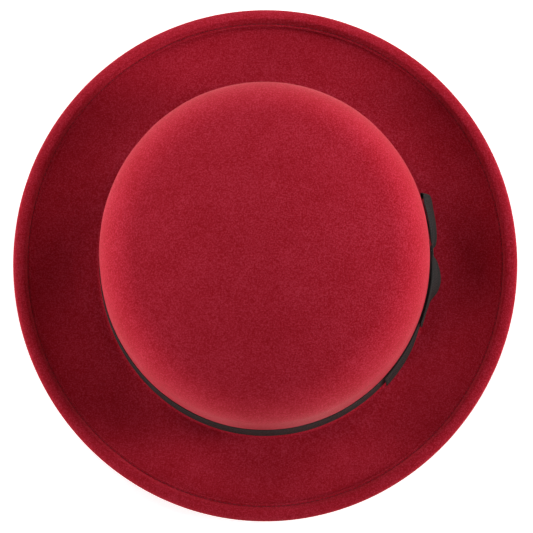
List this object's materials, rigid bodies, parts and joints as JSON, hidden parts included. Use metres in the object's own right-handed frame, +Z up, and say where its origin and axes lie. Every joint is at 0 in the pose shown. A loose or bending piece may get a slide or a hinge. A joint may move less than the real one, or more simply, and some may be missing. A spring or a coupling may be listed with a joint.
{
  "type": "felt hat",
  "caption": "Round-crowned felt hat with a turned brim edge curling up at the sides, a ribbon band with a side bow, and a lined crown.",
  "frame": {"origin": "middle of the head opening, on the surface the hat stands on", "axes": "+Z up through the crown, -Y the wearer's front, +X the wearer's left, where the bow is"},
  "size_m": [0.2878, 0.2952, 0.1],
  "materials": {
    "felt": "matte wool felt",
    "ribbon": "ribbed grosgrain",
    "red_thread": "sewing thread",
    "black_thread": "sewing thread",
    "sweatband": "ribbed grosgrain",
    "lining": "satin",
    "lining_cord": "covered cord",
    "label": "woven tape, blank",
    "wire": "drawn",
    "sleeve": "drawn"
  },
  "bodies": {
    "hat": {"felt_body": "felt", "brim_wire": "wire", "wire_sleeve": "sleeve", "hem_needle_thread": "red_thread", "hem_bobbin_thread": "red_thread", "hatband": "ribbon", "hatband_tacks": "black_thread", "bow_front_loop": "ribbon", "bow_rear_loop": "ribbon", "bow_knot": "ribbon", "bow_knot_tacks": "black_thread", "ribbon_tail": "ribbon", "sweatband": "sweatband", "sweatband_thread": "black_thread", "sweatband_join_tab": "sweatband", "lining_side": "lining", "lining_tip": "lining", "lining_seam_cord": "lining_cord", "label_thread": "black_thread"},
    "label": {"size_label": "label"}
  },
  "joints": [
    {"name": "label_flap", "type": "hinge", "parent": "hat", "child": "label", "pos_m": [-0.08724, 0, 0.035], "axis": [0, -1, 0], "range_deg": [0, 150]}
  ]
}
